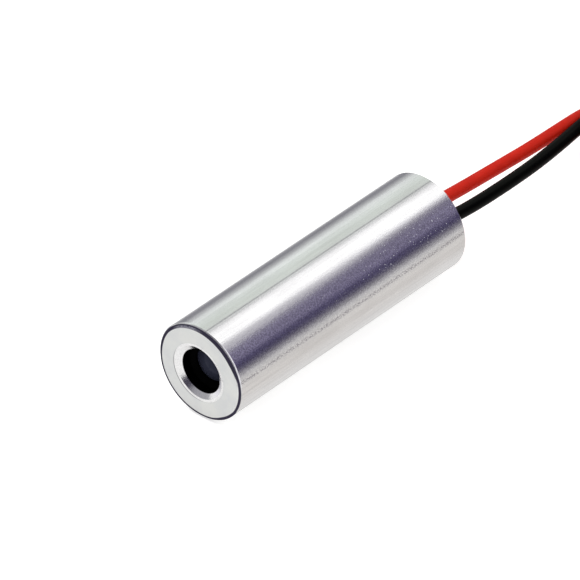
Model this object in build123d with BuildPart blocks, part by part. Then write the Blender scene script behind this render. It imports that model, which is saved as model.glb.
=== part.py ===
import os
from math import pi, radians, sqrt, tan

from build123d import *

# Laser diode module: a turned barrel on its side along Y, its beam towards -Y and its leads towards +Y.
# Millimetres, +Z up, origin on the surface under the middle of the barrel.
# Places inside the barrel are given as (distance behind the front face, radius).

os.makedirs("parts", exist_ok=True)

# Barrel
barrel_diameter = 8.0
barrel_length = 25.4
front_wall = 1.0
front_edge_break = 0.24
rear_edge_break = 0.2
face_edge_round = 0.05
outer_edge_round = 0.07
aperture_diameter = 3.63
countersink_diameter = 4.5
countersink_depth = 0.285
countersink_round = 0.15
barrel_wall = 0.65
lens_bore_step = 0.25
holder_seat = 8.2
mouth_break = 0.15

# Lens barrel, lens and its ring
slide_clearance = 0.03
lens_barrel_length = 4.2
stop_diameter = 2.8
stop_flare = 0.3
stop_wall = 0.45
lens_barrel_wall = 0.77
lens_clearance = 0.03
lens_edge = 1.0
lens_front_sag = 0.35
lens_rear_sag = 0.2
lens_rear_rim = 0.7
lens_ring_wall = 0.5
lens_ring_length = 0.6
spanner_slot_width = 0.45
spanner_slot_depth = 0.3

# Focus spring
spring_wire = 0.4
spring_clearance = 0.25
spring_pitch = 0.95

# Diode holder and clamp ring
press_clearance = 0.02
holder_length = 4.4
holder_edge_break = 0.2
holder_wall = 0.5
foot_clearance = 0.1
flange_seat_depth = 1.6
flange_clearance = 0.03
clamp_ring_length = 0.8
clamp_ring_wall = 0.6

# Laser diode in its can
flange_thickness = 1.2
index_notch_depth = 0.4
index_notch_width = 1.0
can_foot_diameter = 4.0
can_foot_width = 0.225
can_foot_thickness = 0.2
can_height = 2.3
can_wall = 0.15
window_gap = 0.325
window_seat = 0.5
window_thickness = 0.25
post_width = 1.0
post_height = 1.3
post_depth = 0.6
submount_width = 0.8
submount_length = 0.9
submount_thickness = 0.25
chip_width = 0.3
chip_length = 0.6
chip_thickness = 0.12
photodiode_side = 0.7
photodiode_thickness = 0.2
photodiode_drop = 0.55
pin_diameter = 0.45
pin_circle = 2.0
pin_rear_length = 4.2
pin_front_length = 0.6
seal_diameter = 0.9

# Driver board and what is soldered to it
board_start = 13.2
board_length = 8.2
board_width = 5.2
board_thickness = 0.4
board_corner = 0.3
package_length = 2.6
package_width = 1.3
package_height = 0.9
package_edge = 0.12
package_standoff = 0.06
leg_thickness = 0.12
leg_width = 0.38
leg_reach = 0.5
leg_foot = 0.3
trimmer_side = 2.0
trimmer_height = 0.6
trimmer_corner = 0.2
rotor_diameter = 1.4
rotor_height = 0.25
rotor_slot_width = 0.25
rotor_slot_depth = 0.12
resistor_length = 1.0
resistor_width = 0.5
resistor_height = 0.3
capacitor_length = 1.6
capacitor_width = 0.8
capacitor_height = 0.75
end_cap_length = 0.25
end_cap_step = 0.03
solder_length = 1.1
solder_wall = 0.18

# Leads and the resin that closes the barrel
lead_diameter = 1.05
conductor_diameter = 0.45
conductor_lap = 0.9
conductor_gap = 0.5
tip_length = 3.0
tip_bend = 3.0
potting_grip = 0.7
potting_recess = 0.35
potting_dip = 0.25
coil_across = 10.6
coil_aside = 4.2
coil_behind = 25.9

# One overrun for all cuts
overrun = 0.6

# Diameters that follow from what each piece fits in
holder_bore = barrel_diameter - 2 * barrel_wall
lens_bore = holder_bore - 2 * lens_bore_step
lens_seat_diameter = lens_bore - 2 * (slide_clearance + lens_barrel_wall)
lens_rear_diameter = lens_seat_diameter - 2 * lens_rear_rim
spring_diameter = lens_bore - 2 * spring_clearance - spring_wire
flange_diameter = holder_bore - 2 * (press_clearance + holder_wall + flange_clearance)
cap_bore = can_foot_diameter + 2 * foot_clearance
can_diameter = can_foot_diameter - 2 * can_foot_width
window_diameter = can_diameter - 2 * (can_wall + window_gap)
window_hole = window_diameter - 2 * window_seat

# Levels and places that follow from the sizes
barrel_radius = barrel_diameter / 2
front_face = -barrel_length / 2
rear_face = barrel_length / 2
lens_seat = front_wall + stop_wall
lens_barrel_end = front_wall + lens_barrel_length
flange_seat = holder_seat + flange_seat_depth
flange_end = flange_seat + flange_thickness
board_top = barrel_radius - pin_diameter / 2
board_bottom = board_top - board_thickness
pin_radius = pin_diameter / 2
pin_end = flange_end + pin_rear_length
board_end = board_start + board_length
conductor_start = board_end - conductor_lap
conductor_length = conductor_lap + conductor_gap
potting_start = board_end - potting_grip
lead_start = front_face + board_end + conductor_gap
coil_centre = (coil_aside, rear_face + coil_behind)

# Route of each lead, from the solder joint inside the barrel to the start of its coil
red_route = [
    (-1.0, lead_start, barrel_radius),
    (-1.0, rear_face + 0.6, barrel_radius),
    (-1.03, rear_face + 5.1, 3.54),
    (-1.0, rear_face + 9.5, 3.27),
    (-0.97, rear_face + 12.7, 3.04),
    (-0.98, rear_face + 15.7, 2.9),
    (-1.04, rear_face + 18.1, 2.85),
    (-1.15, rear_face + 19.8, 2.3),
    (-1.35, rear_face + 21.4, 1.4),
    (-1.55, rear_face + 22.9, 0.78),
    (-1.625, rear_face + 24.4, 0.525),
    (-1.625, rear_face + 25.9, 0.525),
]
black_route = [
    (1.0, lead_start, barrel_radius),
    (1.0, rear_face + 0.1, barrel_radius),
    (1.0, rear_face + 3.7, 3.5),
    (0.93, rear_face + 7.8, 3.28),
    (0.72, rear_face + 12.1, 3.12),
    (0.4, rear_face + 15.1, 3.07),
    (0.12, rear_face + 17.3, 3.03),
    (-0.1, rear_face + 19.3, 3.0),
    (-0.72, rear_face + 21.2, 2.62),
    (-1.35, rear_face + 22.8, 2.0),
    (-1.625, rear_face + 24.4, 1.575),
    (-1.625, rear_face + 25.9, 1.575),
]

# Working planes: the half section through the barrel's axis, and the board's two faces
turning = Plane(origin=(0, front_face, barrel_radius), x_dir=(0, 1, 0), z_dir=(1, 0, 0))
barrel_axis = Axis((0, front_face, barrel_radius), (0, 1, 0))


def across(distance):
    # A plane across the barrel, facing the rear: local x is -X and local y is +Z.
    return Plane(origin=(0, front_face + distance, barrel_radius), x_dir=(-1, 0, 0), z_dir=(0, 1, 0))


def on_board(x, distance, under=False):
    # A plane on the board's upper or lower face, facing away from it: local x is along the barrel.
    y = front_face + distance
    if under:
        return Plane(origin=(x, y, board_bottom), x_dir=(0, 1, 0), z_dir=(0, 0, -1))
    return Plane(origin=(x, y, board_top), x_dir=(0, 1, 0), z_dir=(0, 0, 1))


def save(piece, name):
    piece.part.label = name
    export_step(piece.part, "parts/" + name + ".step")


def turned(points):
    # A closed half section turned about the barrel's axis.
    with BuildPart() as piece:
        with BuildSketch(turning):
            with BuildLine():
                Polyline(*points, close=True)
            make_face()
        revolve(axis=barrel_axis)
    return piece


# Housing: one turned barrel with a closed front wall and a countersunk aperture
def make_housing():
    aperture_radius = aperture_diameter / 2
    profile = [
        (0, countersink_diameter / 2),
        (0, barrel_radius - front_edge_break),
        (front_edge_break, barrel_radius),
        (barrel_length - rear_edge_break, barrel_radius),
        (barrel_length, barrel_radius - rear_edge_break),
        (barrel_length, holder_bore / 2 + mouth_break),
        (barrel_length - mouth_break, holder_bore / 2),
        (holder_seat, holder_bore / 2),
        (holder_seat, lens_bore / 2),
        (front_wall, lens_bore / 2),
        (front_wall, aperture_radius),
        (countersink_depth, aperture_radius),
    ]
    with BuildPart() as housing:
        with BuildSketch(turning):
            with BuildLine():
                Polyline(*profile, close=True)
            make_face()
        revolve(axis=barrel_axis)
        front_rims = housing.edges().filter_by(GeomType.CIRCLE).group_by(Axis.Y)
        countersink_rim, face_rim = front_rims[0].sort_by(SortBy.RADIUS)
        outer_rim = front_rims[1][0]
        fillet(countersink_rim, radius=countersink_round)
        fillet(face_rim, radius=face_edge_round)
        fillet(outer_rim, radius=outer_edge_round)
    return housing


# Lens barrel: black sleeve with the stop in front and the lens seat behind it
def make_lens_barrel():
    stop_radius = stop_diameter / 2
    seat_radius = lens_seat_diameter / 2
    outer_radius = lens_bore / 2 - slide_clearance
    return turned([
        (front_wall, stop_radius + stop_flare),
        (front_wall, outer_radius - mouth_break),
        (front_wall + mouth_break, outer_radius),
        (lens_barrel_end - mouth_break, outer_radius),
        (lens_barrel_end, outer_radius - mouth_break),
        (lens_barrel_end, seat_radius),
        (lens_seat, seat_radius),
        (lens_seat, stop_radius),
        (front_wall + stop_flare, stop_radius),
    ])


def halfway_sag(radius, sag):
    # How far a round dome has fallen from its tip at half its radius.
    sphere = (radius**2 + sag**2) / (2 * sag)
    return sphere - sqrt(sphere**2 - (radius / 2) ** 2)


# Lens: flat rim held in the seat, steep dome through the stop and a shallow dome behind
def make_lens():
    rim_radius = lens_seat_diameter / 2 - lens_clearance
    dome_radius = stop_diameter / 2 - lens_clearance
    rear_radius = lens_rear_diameter / 2
    rear = lens_seat + lens_edge
    front_tip = lens_seat - lens_front_sag
    rear_tip = rear + lens_rear_sag
    with BuildPart() as lens:
        with BuildSketch(turning):
            with BuildLine():
                ThreePointArc(
                    (front_tip, 0),
                    (front_tip + halfway_sag(dome_radius, lens_front_sag), dome_radius / 2),
                    (lens_seat, dome_radius),
                )
                Polyline((lens_seat, dome_radius), (lens_seat, rim_radius), (rear, rim_radius))
                Line((rear, rim_radius), (rear, rear_radius))
                ThreePointArc(
                    (rear, rear_radius),
                    (rear_tip - halfway_sag(rear_radius, lens_rear_sag), rear_radius / 2),
                    (rear_tip, 0),
                )
                Line((rear_tip, 0), (front_tip, 0))
            make_face()
        revolve(axis=barrel_axis)
    return lens


def make_ring(start, length, outer_radius, wall):
    # A screwed ring with two spanner slots in its rear face.
    inner_radius = outer_radius - wall
    end = start + length
    with BuildPart() as ring:
        with BuildSketch(turning):
            with BuildLine():
                Polyline((start, inner_radius), (start, outer_radius), (end, outer_radius))
                Polyline((end, outer_radius), (end, inner_radius), (start, inner_radius))
            make_face()
        revolve(axis=barrel_axis)
        with BuildSketch(across(end)):
            Rectangle(2 * (outer_radius + overrun), spanner_slot_width)
        extrude(amount=-spanner_slot_depth, mode=Mode.SUBTRACT)
    return ring


# Focus spring: open coil with ground flat ends, between the lens barrel and the diode holder
def make_spring():
    start = front_face + lens_barrel_end
    height = holder_seat - lens_barrel_end
    with BuildPart() as spring:
        with BuildLine():
            wire = Helix(
                pitch=spring_pitch,
                height=height,
                radius=spring_diameter / 2,
                center=(0, start, barrel_radius),
                direction=(0, 1, 0),
            )
        with BuildSketch(Plane(origin=wire @ 0, z_dir=wire % 0)):
            Circle(spring_wire / 2)
        sweep(is_frenet=True)
        for level, away in ((start, -1), (start + height, 1)):
            with BuildSketch(Plane(origin=(0, level, barrel_radius), z_dir=(0, away, 0))):
                Circle(spring_diameter)
            extrude(amount=spring_wire, mode=Mode.SUBTRACT)
    return spring


# Diode holder: brass bush, open in front for the can and counterbored behind for the flange
def make_diode_holder():
    outer_radius = holder_bore / 2 - press_clearance
    seat_radius = flange_diameter / 2 + flange_clearance
    holder_end = holder_seat + holder_length
    return turned([
        (holder_seat, cap_bore / 2),
        (holder_seat, outer_radius - holder_edge_break),
        (holder_seat + holder_edge_break, outer_radius),
        (holder_end - holder_edge_break, outer_radius),
        (holder_end, outer_radius - holder_edge_break),
        (holder_end, seat_radius),
        (flange_seat, seat_radius),
        (flange_seat, cap_bore / 2),
    ])


# Diode header: flange with index notches, its post in front and two holes for the sealed pins
def make_diode_header():
    flange_radius = flange_diameter / 2
    with BuildPart() as header:
        with BuildSketch(across(flange_end)):
            Circle(flange_radius)
            with PolarLocations(flange_radius, 2):
                Rectangle(2 * index_notch_depth, index_notch_width, mode=Mode.SUBTRACT)
            with Locations((0, -flange_radius)):
                Rectangle(index_notch_width / 2, 2 * index_notch_depth, mode=Mode.SUBTRACT)
            with PolarLocations(pin_circle / 2, 2):
                Circle(seal_diameter / 2, mode=Mode.SUBTRACT)
        extrude(amount=-flange_thickness)
        post_middle = chip_thickness / 2 + submount_thickness + post_depth / 2
        with BuildSketch(across(flange_seat)):
            with Locations((0, post_middle)):
                Rectangle(post_width, post_depth)
        extrude(amount=-post_height)
    return header


# Diode can: drawn cup with a foot, its window hole in front
def make_diode_can():
    outer = can_diameter / 2
    inner = outer - can_wall
    top = flange_seat - can_height
    return turned([
        (top, window_hole / 2),
        (top, outer - can_wall),
        (top + can_wall, outer),
        (flange_seat - can_foot_thickness, outer),
        (flange_seat - can_foot_thickness, can_foot_diameter / 2),
        (flange_seat, can_foot_diameter / 2),
        (flange_seat, inner),
        (top + can_wall, inner),
        (top + can_wall, window_hole / 2),
    ])


def make_window():
    start = flange_seat - can_height + can_wall
    with BuildPart() as window:
        with BuildSketch(across(start)):
            Circle(window_diameter / 2)
        extrude(amount=window_thickness)
    return window


def make_block(distance, length, width, low, high):
    # A block in the can: its length runs forward from a distance behind the front face.
    with BuildPart() as block:
        with BuildSketch(across(distance)):
            with Locations((0, (low + high) / 2)):
                Rectangle(width, high - low)
        extrude(amount=-length)
    return block


def make_glass_seals():
    with BuildPart() as seals:
        with BuildSketch(across(flange_end)):
            with PolarLocations(pin_circle / 2, 2):
                Circle(seal_diameter / 2)
                Circle(pin_radius, mode=Mode.SUBTRACT)
        extrude(amount=-flange_thickness)
    return seals


def make_pin(x, z, start):
    with BuildPart() as pin:
        with BuildSketch(across(start)):
            with Locations((-x, z)):
                Circle(pin_radius)
        extrude(amount=pin_end - start)
    return pin


# Driver board: it lies under the two side pins and over the lower one
def make_driver_board():
    with BuildPart() as board:
        with BuildSketch(on_board(0, board_start + board_length / 2)):
            Rectangle(board_length, board_width)
        extrude(amount=-board_thickness)
        chamfer(board.edges().filter_by(Axis.Z), length=board_corner)
    return board


def make_package(place):
    # Moulded transistor body, its edges drafted off.
    with BuildPart() as package:
        with BuildSketch(place.offset(package_standoff)):
            Rectangle(package_length, package_width)
        extrude(amount=package_height)
        upper = package.faces().sort_by(Axis(place.origin, place.z_dir))[-1]
        chamfer(upper.edges(), length=package_edge)
    return package


def make_package_legs(place):
    # Three bent legs: two on one side and one on the other, with their feet on the board.
    exit_level = package_standoff + package_height / 2
    leg_shares = [(-0.365, 1), (0.365, 1), (0, -1)]
    outline = [
        (package_width / 2, exit_level),
        (package_width / 2 + leg_reach - leg_thickness, exit_level),
        (package_width / 2 + leg_reach - leg_thickness, 0),
        (package_width / 2 + leg_reach + leg_foot, 0),
        (package_width / 2 + leg_reach + leg_foot, leg_thickness),
        (package_width / 2 + leg_reach, leg_thickness),
        (package_width / 2 + leg_reach, exit_level + leg_thickness),
        (package_width / 2, exit_level + leg_thickness),
    ]
    with BuildPart() as legs:
        for share, side in leg_shares:
            middle = place.origin + place.x_dir * (share * package_length)
            section = Plane(origin=middle, x_dir=place.y_dir * side, z_dir=place.x_dir * side)
            with BuildSketch(section):
                with BuildLine():
                    Polyline(*outline, close=True)
                make_face()
            extrude(amount=leg_width / 2, both=True)
    return legs


def make_chip(place, length, width, height):
    # Chip part: a body between two slightly raised end caps.
    with BuildPart() as chip:
        with BuildSketch(place):
            Rectangle(length, width - 2 * end_cap_step)
        extrude(amount=height - end_cap_step)
        with BuildSketch(place):
            with Locations((-(length - end_cap_length) / 2, 0), ((length - end_cap_length) / 2, 0)):
                Rectangle(end_cap_length, width)
        extrude(amount=height)
    return chip


def make_trimmer_base(place):
    with BuildPart() as base:
        with BuildSketch(place):
            Rectangle(trimmer_side, trimmer_side)
        extrude(amount=trimmer_height)
        chamfer(base.edges().filter_by(Axis.Z), length=trimmer_corner)
    return base


def make_trimmer_rotor(place):
    with BuildPart() as rotor:
        with BuildSketch(place.offset(trimmer_height)):
            Circle(rotor_diameter / 2)
        extrude(amount=rotor_height)
        with BuildSketch(place.offset(trimmer_height + rotor_height)):
            Rectangle(rotor_diameter, rotor_slot_width)
            Rectangle(rotor_slot_width, rotor_diameter)
        extrude(amount=-rotor_slot_depth, mode=Mode.SUBTRACT)
    return rotor


# Conductors: the bare ends of the leads on the board
def make_conductor(route):
    x, y, z = route[0]
    with BuildPart() as conductor:
        with BuildSketch(Plane(origin=(x, y, z), x_dir=(1, 0, 0), z_dir=(0, -1, 0))):
            Circle(conductor_diameter / 2)
        extrude(amount=conductor_length)
    return conductor


# Solder: a fillet round each pin and conductor, with its feet on the board on both sides of the wire
def make_solder():
    at_pins = pin_end - solder_length
    foot_gap_share = 0.7
    joints = [
        (pin_circle / 2, 0, at_pins, pin_radius, False),
        (-pin_circle / 2, 0, at_pins, pin_radius, False),
        (0, -pin_circle / 2, at_pins, pin_radius, True),
    ]
    for route in (red_route, black_route):
        x, _, height = route[0]
        joints.append((x, height - barrel_radius, conductor_start, conductor_diameter / 2, False))
    with BuildPart() as solder:
        for x, z, start, inner, under in joints:
            with BuildSketch(across(start)):
                with Locations((-x, z)):
                    Circle(inner + solder_wall)
            extrude(amount=solder_length)
        with BuildSketch(on_board(0, board_start + board_length / 2)):
            Rectangle(board_length + barrel_diameter, board_width)
        extrude(amount=-board_thickness, mode=Mode.SUBTRACT)
        for x, z, start, inner, under in joints:
            with BuildSketch(on_board(x, start, not under)):
                Rectangle(2 * solder_length + overrun, 2 * (inner + solder_wall))
            extrude(amount=barrel_radius, mode=Mode.SUBTRACT)
            with BuildSketch(across(start - overrun)):
                with Locations((-x, z)):
                    Circle(inner)
                if not under:
                    with Locations((-x, z - inner)):
                        Rectangle(foot_gap_share * inner, inner)
            extrude(amount=solder_length + 2 * overrun, mode=Mode.SUBTRACT)
    return solder


# Leads: straight runs joined by tangent arcs as large as the runs allow
def bend_radii(route):
    arc_share = 0.45
    points = [Vector(*p) for p in route]
    radii = []
    for before, here, after in zip(points, points[1:], points[2:]):
        first_run = here - before
        next_run = after - here
        turn = radians(first_run.get_angle(next_run))
        radii.append(arc_share * min(first_run.length, next_run.length) / tan(turn / 2))
    return radii


def make_lead(route, name):
    radii = bend_radii(route)
    with BuildPart() as lead:
        with BuildLine():
            path = FilletPolyline(*route, radius=radii)
        with BuildSketch(Plane(origin=path @ 0, z_dir=path % 0)):
            Circle(lead_diameter / 2)
        sweep()
    path_length = path.length
    share_of_section = lead.part.volume / (pi * (lead_diameter / 2) ** 2 * path_length)
    print(name, "length", round(path_length, 2), "radii", [round(r, 1) for r in radii])
    print(name, "volume over section times length", round(share_of_section, 4))
    return lead


def coil_outline(radius):
    # Three quarters of a circle and a last quarter that steps in by one lead, with a flat step on the left.
    with BuildLine() as outline:
        CenterArc((0, 0), radius, -90, 270)
        EllipticalCenterArc((0, 0), radius - lead_diameter, radius, 180, arc_size=90)
        Line((-radius, 0), (-(radius - lead_diameter), 0))
    return outline.edges()


def make_coil(level):
    # The outer shape of two flat turns, one inside the other.
    outer_radius = coil_across / 2 + lead_diameter
    inner_radius = coil_across / 2 - lead_diameter
    with BuildPart() as coil:
        with BuildSketch(Plane(origin=(*coil_centre, level))):
            make_face(coil_outline(outer_radius))
            make_face(coil_outline(inner_radius), mode=Mode.SUBTRACT)
        extrude(amount=lead_diameter)
    return coil


def make_tip(level):
    # Tinned end of the conductor, bent gently inside the coil.
    start_x = coil_centre[0] - (coil_across / 2 - lead_diameter - lead_diameter / 2)
    bend_centre = (start_x + tip_bend, coil_centre[1], level + lead_diameter / 2)
    with BuildPart() as tip:
        with BuildSketch(Plane(origin=(start_x, *bend_centre[1:]), x_dir=(1, 0, 0), z_dir=(0, -1, 0))):
            Circle(conductor_diameter / 2)
        revolve(axis=Axis(bend_centre, (0, 0, -1)), revolution_arc=180 * tip_length / (pi * tip_bend))
    return tip


# Rear potting: resin with a dished face, round the board's end and what stands there, and round the leads
def make_potting(embedded, routes):
    radius = holder_bore / 2
    wall_level = barrel_length - potting_recess
    dish_level = wall_level - potting_dip
    with BuildPart() as potting:
        with BuildSketch(turning):
            with BuildLine():
                Polyline((dish_level, 0), (potting_start, 0), (potting_start, radius), (wall_level, radius))
                ThreePointArc(
                    (wall_level, radius),
                    (dish_level + halfway_sag(radius, potting_dip), radius / 2),
                    (dish_level, 0),
                )
            make_face()
        revolve(axis=barrel_axis)
        for piece in embedded:
            add(piece.part, mode=Mode.SUBTRACT)
        for route in routes:
            start = Vector(*route[0])
            first_run = Vector(*route[1]) - start
            with BuildSketch(across(conductor_start)):
                with Locations((-start.X, start.Z - barrel_radius)):
                    Circle(conductor_diameter / 2 + solder_wall)
            extrude(amount=solder_length, mode=Mode.SUBTRACT)
            with BuildSketch(across(conductor_start)):
                with Locations((-start.X, start.Z - barrel_radius)):
                    Circle(conductor_diameter / 2)
            extrude(amount=conductor_length, mode=Mode.SUBTRACT)
            with BuildSketch(Plane(origin=start, z_dir=first_run)):
                Circle(lead_diameter / 2)
            extrude(amount=first_run.length, mode=Mode.SUBTRACT)
    return potting


# Optics
save(make_housing(), "housing")
save(make_lens_barrel(), "lens_barrel")
save(make_lens(), "lens")
ring_radius = lens_seat_diameter / 2 - lens_clearance
save(make_ring(lens_seat + lens_edge, lens_ring_length, ring_radius, lens_ring_wall), "lens_ring")
save(make_spring(), "focus_spring")

# Laser diode
save(make_diode_holder(), "diode_holder")
save(make_ring(flange_end, clamp_ring_length, flange_diameter / 2, clamp_ring_wall), "diode_clamp_ring")
save(make_diode_header(), "diode_header")
save(make_diode_can(), "diode_can")
save(make_window(), "diode_window")
chip_face = chip_thickness / 2
submount_top = chip_face + submount_thickness
chip_end = flange_seat - post_height + chip_length
submount_end = flange_seat - post_height + submount_length
save(make_block(submount_end, submount_length, submount_width, chip_face, submount_top), "laser_submount")
save(make_block(chip_end, chip_length, chip_width, -chip_face, chip_face), "laser_chip")
photodiode_low = -photodiode_drop - photodiode_side / 2
photodiode_high = -photodiode_drop + photodiode_side / 2
photodiode = make_block(flange_seat, photodiode_thickness, photodiode_side, photodiode_low, photodiode_high)
save(photodiode, "monitor_photodiode")
save(make_glass_seals(), "glass_seals")
save(make_pin(-pin_circle / 2, 0, flange_seat - pin_front_length), "laser_pin")
save(make_pin(pin_circle / 2, 0, flange_seat - pin_front_length), "monitor_pin")
save(make_pin(0, -pin_circle / 2, flange_end), "common_pin")

# Driver board and its parts, placed in shares of the board's length and width
board = make_driver_board()
embedded = [board]
save(board, "driver_board")


def board_place(length_share, width_share, under=False):
    return on_board(width_share * board_width, board_start + length_share * board_length, under)


package_shares = {"pass_transistor": (0.52, -0.22, False), "sense_transistor": (0.5, 0.0, True)}
for name, shares in package_shares.items():
    save(make_package(board_place(*shares)), name)
    save(make_package_legs(board_place(*shares)), name + "_legs")
resistor_shares = [(0.14, -0.3, True), (0.14, 0.3, True), (0.76, 0.22, False)]
for number, shares in enumerate(resistor_shares, start=1):
    resistor = make_chip(board_place(*shares), resistor_length, resistor_width, resistor_height)
    embedded.append(resistor)
    save(resistor, "chip_resistor_" + str(number))
capacitor_shares = [(0.8, -0.3, True), (0.8, 0.3, True)]
for number, shares in enumerate(capacitor_shares, start=1):
    capacitor = make_chip(board_place(*shares), capacitor_length, capacitor_width, capacitor_height)
    embedded.append(capacitor)
    save(capacitor, "chip_capacitor_" + str(number))
trimmer_shares = (0.5, 0.27)
save(make_trimmer_base(board_place(*trimmer_shares)), "trimmer_base")
save(make_trimmer_rotor(board_place(*trimmer_shares)), "trimmer_rotor")

# Leads, their conductors, solder and the resin round them
red_lead = make_lead(red_route, "red_lead")
black_lead = make_lead(black_route, "black_lead")
save(red_lead, "red_lead")
save(black_lead, "black_lead")
save(make_conductor(red_route), "red_conductor")
save(make_conductor(black_route), "black_conductor")
save(make_solder(), "solder_joints")
save(make_potting(embedded, [red_route, black_route]), "rear_potting")
save(make_coil(0), "red_lead_coil")
save(make_coil(lead_diameter), "black_lead_coil")
save(make_tip(0), "red_lead_tip")
save(make_tip(lead_diameter), "black_lead_tip")
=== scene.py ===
# Laser diode module on a pale table: its looks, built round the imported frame.
import math

import bpy
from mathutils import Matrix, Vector


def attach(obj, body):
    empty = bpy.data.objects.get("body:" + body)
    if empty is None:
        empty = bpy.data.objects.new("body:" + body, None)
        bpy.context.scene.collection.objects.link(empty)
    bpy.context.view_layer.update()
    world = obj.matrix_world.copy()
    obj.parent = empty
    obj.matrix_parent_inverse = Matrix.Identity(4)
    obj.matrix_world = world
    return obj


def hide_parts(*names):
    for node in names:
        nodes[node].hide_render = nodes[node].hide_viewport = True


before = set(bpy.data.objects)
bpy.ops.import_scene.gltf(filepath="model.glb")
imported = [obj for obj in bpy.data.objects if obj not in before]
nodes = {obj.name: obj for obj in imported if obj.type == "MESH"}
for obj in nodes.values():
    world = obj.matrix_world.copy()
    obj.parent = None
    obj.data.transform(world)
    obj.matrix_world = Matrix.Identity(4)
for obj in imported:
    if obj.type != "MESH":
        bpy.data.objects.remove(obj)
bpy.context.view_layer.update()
scene = bpy.context.scene
mm = 0.001
micron = 0.000001
frontFace = Vector((0.0, -12.7, 4.0))  # mm, the middle of the barrel's front face
print("frame loaded with", len(nodes), "nodes")

# camera
cameraChoice = {
    "azimuth": 41.566,  # degrees round the module, from straight in front of the beam
    "elevation": 36.562,
    "distance": 576.7,  # mm to the plane of the front face's middle
    "aimRight": 6.66,  # mm from the front face's middle to the middle of the picture
    "aimUp": 6.042,
    "lens": 491.3,
    "sensor": 36.0,
    "clip": (0.01, 20.0),  # m
}


def makeCamera(choice):
    turn = math.radians(choice["azimuth"])
    tilt = math.radians(choice["elevation"])
    right = Vector((math.cos(turn), math.sin(turn), 0))
    forward = Vector((-math.sin(turn) * math.cos(tilt), math.cos(turn) * math.cos(tilt), -math.sin(tilt)))
    up = right.cross(forward)
    aim = frontFace + right * choice["aimRight"] + up * choice["aimUp"]
    data = bpy.data.cameras.new("productCamera")
    data.lens = choice["lens"]
    data.sensor_width = choice["sensor"]
    data.clip_start, data.clip_end = choice["clip"]
    camera = bpy.data.objects.new("productCamera", data)
    camera.location = (aim - forward * choice["distance"]) * mm
    camera.rotation_mode = "QUATERNION"
    camera.rotation_quaternion = forward.to_track_quat("-Z", "Y")
    scene.collection.objects.link(camera)
    scene.camera = camera


makeCamera(cameraChoice)
print("camera set")

# leads
leadChoice = {
    "diameter": 1.05,  # mm over the insulation
    "coilAcross": 10.6,  # mm between the middles of the coil's two turns
    "coilCentre": (4.2, 38.6),
    "turns": 2,
    "pointsPerQuarter": 6,
    "smoothness": 10,
    "roundness": 7,
    "realLength": 95.0,  # mm of insulated lead
}
redRoute = [
    (-1.0, 9.2, 4.0),
    (-1.0, 13.3, 4.0),
    (-1.03, 17.8, 3.52),
    (-1.0, 22.2, 3.25),
    (-0.97, 25.6, 3.03),
    (-0.98, 28.8, 2.93),
    (-1.0, 31.0, 2.86),
    (-1.05, 32.7, 2.68),
    (-1.2, 34.2, 1.95),
    (-1.45, 35.7, 1.0),
    (-1.625, 37.1, 0.56),
    (-1.625, 38.6, 0.525),
]
blackRoute = [
    (1.0, 9.2, 4.0),
    (1.0, 12.8, 4.0),
    (1.0, 16.4, 3.5),
    (0.93, 20.5, 3.28),
    (0.72, 24.6, 3.1),
    (0.42, 27.8, 3.08),
    (0.13, 30.0, 3.05),
    (0.05, 31.6, 3.15),
    (-0.1, 33.1, 3.2),
    (-0.55, 34.5, 2.95),
    (-1.1, 35.8, 2.35),
    (-1.6, 37.1, 1.72),
    (-1.625, 38.6, 1.575),
]


def coilPoints(level, choice):
    # flat turns, each inside the one before, closing in by one lead over the last quarter
    diameter = choice["diameter"]
    outer = (choice["coilAcross"] + diameter) / 2
    centreX, centreY = choice["coilCentre"]
    perQuarter = choice["pointsPerQuarter"]
    points = []
    for turn in range(choice["turns"]):
        radius = outer - turn * diameter
        for step in range(1, 4 * perQuarter + 1):
            angle = math.pi / 2 * step / perQuarter
            across = radius if step <= 3 * perQuarter else radius - diameter
            x = centreX - across * math.cos(angle)
            points.append((x, centreY + radius * math.sin(angle), level))
    return points


def makeLead(name, route, choice):
    level = route[-1][2]
    points = route + coilPoints(level, choice)
    curve = bpy.data.curves.new(name, "CURVE")
    curve.dimensions = "3D"
    curve.resolution_u = choice["smoothness"]
    curve.bevel_depth = choice["diameter"] / 2 * mm
    curve.bevel_resolution = choice["roundness"]
    curve.use_fill_caps = True
    spline = curve.splines.new("NURBS")
    spline.points.add(len(points) - 1)
    for place, point in zip(spline.points, points):
        place.co = (point[0] * mm, point[1] * mm, point[2] * mm, 1)
    spline.order_u = 3
    spline.use_endpoint_u = True
    lead = bpy.data.objects.new(name, curve)
    scene.collection.objects.link(lead)
    return lead


redLead = makeLead("redInsulation", redRoute, leadChoice)
blackLead = makeLead("blackInsulation", blackRoute, leadChoice)
print("leads routed")

# tinned ends, twisted strands
tipChoice = {
    "strands": 7,
    "strandRadius": 0.075,  # mm
    "lay": 2.6,  # mm for one full twist
    "length": 3.0,
    "bend": 3.0,  # mm radius of the end's gentle bend
    "sections": 60,  # along a strand
    "sides": 12,  # round it
    "startInset": 0.12,  # mm inside the insulation
}


class TreeMaker:
    # adds nodes to a tree and links what they are given
    def __init__(self, tree):
        self.tree = tree

    def add(self, kind, given=None, **settings):
        node = self.tree.nodes.new(kind)
        for key, value in settings.items():
            setattr(node, key, value)
        for key, value in (given or {}).items():
            if isinstance(value, bpy.types.NodeSocket):
                self.link(value, node, key)
            else:
                node.inputs[key].default_value = value
        return node

    def link(self, value, node, socket):
        self.tree.links.new(value, node.inputs[socket])

    def math(self, operation, first, second=0.0, third=0.0):
        given = {0: first, 1: second, 2: third}
        return self.add("ShaderNodeMath", given, operation=operation).outputs[0]

    def times(self, first, *others):
        for other in others:
            first = self.math("MULTIPLY", first, other)
        return first


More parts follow.
